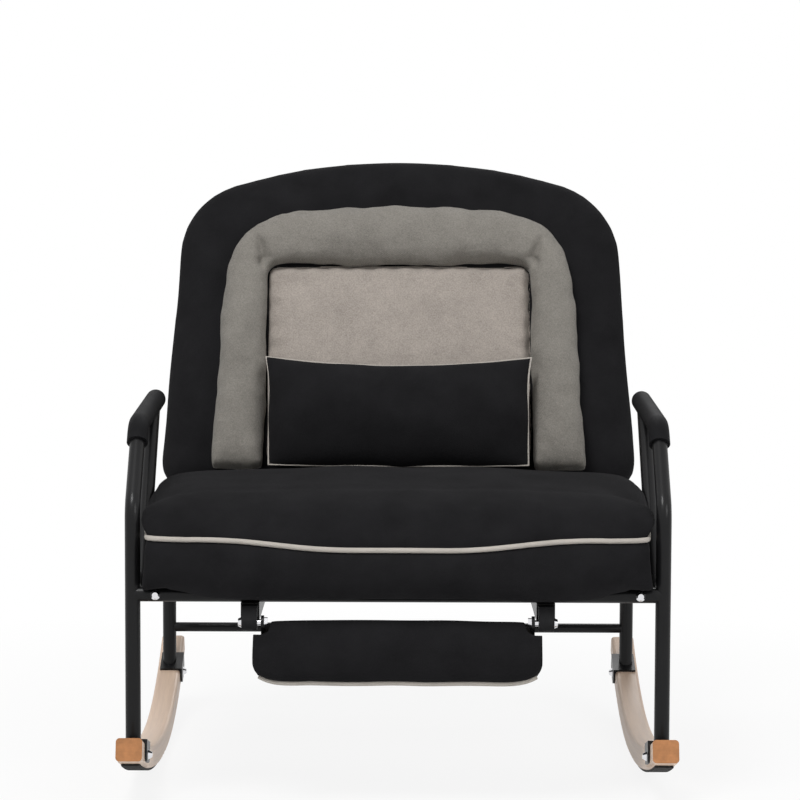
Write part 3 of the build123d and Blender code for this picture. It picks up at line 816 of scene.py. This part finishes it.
class CHAIR_OT_liner(bpy.types.Operator):
    """Puff the grey border with its mitred creases, and the panel inside it"""

    bl_idname = "chair.liner"
    bl_label = "Grey liner"

    def crease(self, border, side):
        """A line on the border from its inner corner outwards; side is -1 or 1."""
        step_across, step_up, out = 0.0013, 0.0028, 0.100
        line = [
            back_point(side * (LINER_HALF + step_across * k), LINER_TOP + step_up * k, out)
            for k in range(-2, 13)
        ]
        return laid_on(border, line, 0.0)

    def border(self, context):
        sizes, colours = context.scene.chair_sizes, context.scene.chair_colours
        border = start_from("liner_bolster", "liner_border_cover", voxel=0.006, inset=0.001)
        _, _, out = in_back_plane(points_of(border))
        swell(border, sizes.pressure * 8.0, cap=0.012, held=out < out.min() + 0.004)
        uneven(border, depth=0.004, pitch=0.065, seed=3)
        uneven(border, depth=0.0022, pitch=0.024, seed=7)
        finish_cover(border)
        foot_drop, shoulder_rise, shoulder_half = 0.014, 0.009, 0.165
        points = points_of(border)
        across, up, _ = in_back_plane(points)
        drop = foot_drop * ramp(up, 0.110, -0.050)
        shoulder = falloff(np.abs(across) - shoulder_half, 0.055)
        rise = shoulder_rise * shoulder * ramp(up, 0.375, 0.040)
        move_points(border, points + (rise - drop)[:, None] * np.array(BACK_UP))
        for side in (-1, 1):
            draw_in(border, self.crease(border, side), sizes.crease_depth, 0.009, taper=0.6)
        cloth = material("grey_border", liner_cloth, tuple(colours.grey_border))
        dress(border, cloth, "backrest", "liner_bolster")

    def panel(self, context):
        sizes, colours = context.scene.chair_sizes, context.scene.chair_colours
        panel = start_from("liner_panel", "liner_panel_cover", voxel=0.006, inset=0.002)
        _, _, out = in_back_plane(points_of(panel))
        swell(panel, sizes.pressure * 0.4, cap=0.008, held=out < out.min() + 0.004)
        uneven(panel, depth=0.003, pitch=0.07, seed=4)
        finish_cover(panel)
        widening, lift, groove_depth, pucker_depth = 1.010, 0.0025, 0.006, 0.0016
        fold_across, fold_up = 0.034, 0.031
        points = points_of(panel)
        points[:, 0] *= widening
        across, up, out = in_back_plane(points)
        points += (lift * (up > 0.30))[:, None] * np.array(BACK_UP)
        edge = np.maximum(np.minimum(LINER_HALF - np.abs(across), LINER_TOP - up), 0)
        front = out > out.max() - 0.016
        near = falloff(edge, 0.022) * front
        groove = groove_depth * falloff(edge, 0.009) * front
        waves = np.sin(across * 2 * np.pi / fold_across) + np.sin(up * 2 * np.pi / fold_up + 1.0)
        pucker = pucker_depth * near * waves - groove
        move_points(panel, points + pucker[:, None] * np.array(BACK_OUT))
        cloth = material("grey_panel", liner_cloth, tuple(colours.grey_panel))
        dress(panel, cloth, "backrest", "liner_panel")

    def execute(self, context):
        self.border(context)
        self.panel(context)
        return {"FINISHED"}


class CHAIR_OT_lumbar_pillow(bpy.types.Operator):
    """Make the eared lumbar pillow and its piping"""

    bl_idname = "chair.lumbar_pillow"
    bl_label = "Lumbar pillow"

    def two_sheets(self, context):
        """Two flat sheets, back to back; the first half of the points is the front one."""
        bpy.ops.object.select_all(action="DESELECT")
        bpy.ops.mesh.primitive_grid_add(x_subdivisions=72, y_subdivisions=32, size=2)
        pillow = context.active_object
        pillow.name = pillow.data.name = "lumbar_pillow_cover"
        bpy.ops.object.mode_set(mode="EDIT")
        bpy.ops.mesh.select_all(action="SELECT")
        bpy.ops.mesh.duplicate()
        bpy.ops.mesh.flip_normals()
        bpy.ops.object.mode_set(mode="OBJECT")
        return pillow

    def fan_tips(self, pillow):
        """Fan out the faces at the four ears, so that front and back share no triangle there."""
        edges_at = np.zeros(len(pillow.data.vertices), int)
        for edge in pillow.data.edges:
            edges_at[list(edge.vertices)] += 1
        tips = set(np.flatnonzero(edges_at == 2))
        only(pillow)
        bpy.ops.object.mode_set(mode="EDIT")
        bpy.ops.mesh.select_mode(type="FACE")
        bpy.ops.mesh.select_all(action="DESELECT")
        bpy.ops.object.mode_set(mode="OBJECT")
        for face in pillow.data.polygons:
            face.select = not tips.isdisjoint(face.vertices)
        bpy.ops.object.mode_set(mode="EDIT")
        bpy.ops.mesh.poke()
        bpy.ops.mesh.select_mode(type="VERT")
        bpy.ops.object.mode_set(mode="OBJECT")

    def execute(self, context):
        sizes = context.scene.chair_sizes
        half, thick, ear = 0.192, 0.044, 0.030
        low, high, centre_out = 0.041, 0.203, 0.1108
        top_dip, foot_dip, crown_power = 0.16, -0.02, 0.62
        middle, tall = (low + high) / 2, (high - low) / 2
        pillow = self.two_sheets(context)
        flat = points_of(pillow)
        one_side = len(flat) // 2
        s = np.sin(flat[:, 0] * np.pi / 2)
        t = np.sin(flat[:, 1] * np.pi / 2)
        face = np.where(np.arange(len(flat)) < one_side, 1.0, -1.0)
        across = half * s * (1 - ear + ear * np.maximum(t, 0) ** 3)
        dip = np.where(t > 0, top_dip, foot_dip)
        up = middle + tall * t * (1 - dip * (1 - s**2))
        crown = (np.clip(1 - s**4, 0, 1) * np.clip(1 - t**2, 0, 1)) ** crown_power
        out = centre_out + face * thick * crown
        shaped = np.array([back_point(*p) for p in zip(across, up, out)])
        move_points(pillow, shaped)
        rim = np.max(np.abs(flat[:one_side, :2]), axis=1) > 0.999
        rim_spots = [Vector(p) for p in shaped[:one_side][rim]]
        join_points(pillow, gap=JOIN_GAP / 2, outward=True)
        held = near_line(points_of(pillow), rim_spots)[0] < 0.0005
        swell(pillow, sizes.pressure * 3.0, cap=0.008, held=held)
        uneven(pillow, depth=0.0025, pitch=0.06, seed=5)
        finish_cover(pillow)
        self.fan_tips(pillow)
        dress(pillow, black_plush(context), "backrest", "lumbar_pillow")
        centre = back_point(0, middle, centre_out)

        def turn(spot):
            away = spot - centre
            return math.atan2(away.dot(BACK_UP) / tall, away.x / half)

        loop = sorted(rim_spots, key=turn)
        cord = cord_along("pillow_piping", loop, sizes.pillow_piping, closed=True)
        dress(cord, light_piping(context), "backrest")
        return {"FINISHED"}


class CHAIR_OT_footrest_pad(bpy.types.Operator):
    """Fill the footrest pad and sew the piping along its lower edge"""

    bl_idname = "chair.footrest_pad"
    bl_label = "Footrest pad"

    def seam_line(self, pad, proud=0.0):
        """Along the rounding between the pad's front and its lower edge, from corner to corner."""
        low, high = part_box("footrest_pad")
        inside_y, inside_z = high.y - 0.0025, low.z + 0.0170
        steps, steepest = 80, 0.8
        line = []
        for step in range(steps + 1):
            x = low.x + (high.x - low.x) * step / steps
            found = on_cover(pad, (x, inside_y, inside_z), (0, -1, -1))
            if found and abs(found[1].x) < steepest:
                line.append(found[0])
        return laid_on(pad, evened(line, 3), proud)

    def execute(self, context):
        sizes = context.scene.chair_sizes
        pad = start_from("footrest_pad", "footrest_pad_cover", voxel=0.004, inset=0.001)
        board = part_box("footrest_board")[0].y
        rear = points_of(pad)[:, 1] > board - 0.004
        swell(pad, sizes.pressure * 3.0, cap=0.004, held=rear)
        uneven(pad, depth=0.0015, pitch=0.07, seed=6)
        finish_cover(pad)
        draw_in(pad, self.seam_line(pad), sizes.seam_depth * 0.5, width=0.006)
        corner_high, corner_share, board_gap = 0.030, 0.064, 0.0002
        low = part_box("footrest_pad")[0].z
        points = points_of(pad)
        corner = ramp(points[:, 2], low + corner_high, -corner_high) ** 1.3
        points[:, 0] *= 1 - corner_share * corner
        points[:, 1] = np.minimum(points[:, 1], board - board_gap)
        move_points(pad, points)
        dress(pad, black_plush(context), "footrest_flap", "footrest_pad")
        line = self.seam_line(pad, sizes.foot_piping * 0.4)
        cord = cord_along("footrest_piping", line, sizes.foot_piping)
        dress(cord, light_piping(context), "footrest_flap")
        return {"FINISHED"}


class CHAIR_OT_stage(bpy.types.Operator):
    """Set the pale floor, the soft lamps, the white surround and the camera"""

    bl_idname = "chair.stage"
    bl_label = "Studio"

    def floor(self):
        """A pale floor that keeps the chair's shadow and fades to white round it."""
        near, fade, least_white = 0.45, 0.9, 0.88
        bpy.ops.object.select_all(action="DESELECT")
        bpy.ops.mesh.primitive_plane_add(size=30)
        floor = bpy.context.active_object
        floor.name = "studio_floor"
        paint = Finish(
            "studio_floor", Base_Color=(0.88, 0.88, 0.88, 1.0), Roughness=0.9, Specular_IOR_Level=0.0
        )
        glow = paint.add("ShaderNodeEmission", values={"Strength": 1.0})
        away = (paint.x * paint.x + paint.y * paint.y).root()
        white = ((away - near) / fade).clamped() * (1 - least_white) + least_white
        both = paint.add(
            "ShaderNodeMixShader",
            values={
                0: background_rays(paint) * white,
                1: paint.shader.outputs["BSDF"],
                2: glow.outputs["Emission"],
            },
        )
        paint.tree.links.new(both.outputs[0], paint.output.inputs["Surface"])
        floor.data.materials.append(paint.material)

    def lamp(self, name, place, size, power):
        """A round soft lamp that looks at the middle of the chair."""
        chair_middle = Vector((0, 0, 0.45))
        bpy.ops.object.light_add(type="AREA", location=place)
        lamp = bpy.context.active_object
        lamp.name = name
        lamp.data.shape = "DISK"
        lamp.data.size = size
        lamp.data.energy = power
        aim = chair_middle - Vector(place)
        lamp.rotation_mode = "QUATERNION"
        lamp.rotation_quaternion = aim.to_track_quat("-Z", "Y")

    def surround(self, context):
        """White where it is seen, and a dimmer light on the chair."""
        ambient = 0.32
        world = bpy.data.worlds.new("studio_surround")
        world.use_nodes = True
        context.scene.world = world
        graph = Graph(world.node_tree)
        strength = background_rays(graph) * (1 - ambient) + ambient
        white = {"Color": (1, 1, 1, 1), "Strength": strength}
        back = graph.add("ShaderNodeBackground", values=white)
        graph.add("ShaderNodeOutputWorld", values={"Surface": back.outputs[0]})

    def camera(self, context):
        studio = context.scene.chair_studio
        bpy.ops.object.camera_add(location=(0, LEG_Y - studio.distance, studio.height))
        camera = context.active_object
        camera.name = "front_camera"
        camera.rotation_euler = (math.pi / 2 - studio.pitch, -studio.roll, 0)
        camera.data.lens = studio.lens
        camera.data.sensor_width = 36
        camera.data.shift_x = studio.shift
        camera.data.clip_end = 100
        context.scene.camera = camera

    def execute(self, context):
        context.scene.view_settings.view_transform = "Standard"
        self.floor()
        self.lamp("key_lamp", (-0.9, -1.9, 3.3), size=1.4, power=72)
        self.lamp("fill_lamp", (2.2, -2.4, 1.9), size=1.6, power=24)
        self.lamp("rear_lamp", (0.4, 2.6, 2.4), size=1.6, power=26)
        self.surround(context)
        self.camera(context)
        return {"FINISHED"}


class CHAIR_PT_panel(bpy.types.Panel):
    """Lists the steps that dress the armchair"""

    bl_idname = "CHAIR_PT_panel"
    bl_label = "Rocking armchair"
    bl_space_type = "VIEW_3D"
    bl_region_type = "UI"
    bl_category = "Armchair"

    def draw(self, context):
        for step in STEPS:
            self.layout.operator(step.bl_idname)
        for group in ("chair_sizes", "chair_colours", "chair_studio"):
            settings = getattr(context.scene, group)
            box = self.layout.box()
            for name in settings.__annotations__:
                box.prop(settings, name)


STEPS = (
    CHAIR_OT_frame_finishes,
    CHAIR_OT_seat_cushion,
    CHAIR_OT_back_pad,
    CHAIR_OT_liner,
    CHAIR_OT_lumbar_pillow,
    CHAIR_OT_footrest_pad,
    CHAIR_OT_stage,
)
CLASSES = (ChairSizes, ChairColours, ChairStudio, *STEPS, CHAIR_PT_panel)


def register():
    for made in CLASSES:
        bpy.utils.register_class(made)
    bpy.types.Scene.chair_sizes = PointerProperty(type=ChairSizes)
    bpy.types.Scene.chair_colours = PointerProperty(type=ChairColours)
    bpy.types.Scene.chair_studio = PointerProperty(type=ChairStudio)


def unregister():
    del bpy.types.Scene.chair_studio
    del bpy.types.Scene.chair_colours
    del bpy.types.Scene.chair_sizes
    for made in reversed(CLASSES):
        bpy.utils.unregister_class(made)


def main():
    register()
    bpy.ops.chair.frame_finishes()
    bpy.ops.chair.seat_cushion()
    bpy.ops.chair.back_pad()
    bpy.ops.chair.liner()
    bpy.ops.chair.lumbar_pillow()
    bpy.ops.chair.footrest_pad()
    bpy.ops.chair.stage()


if __name__ == "__main__":
    main()
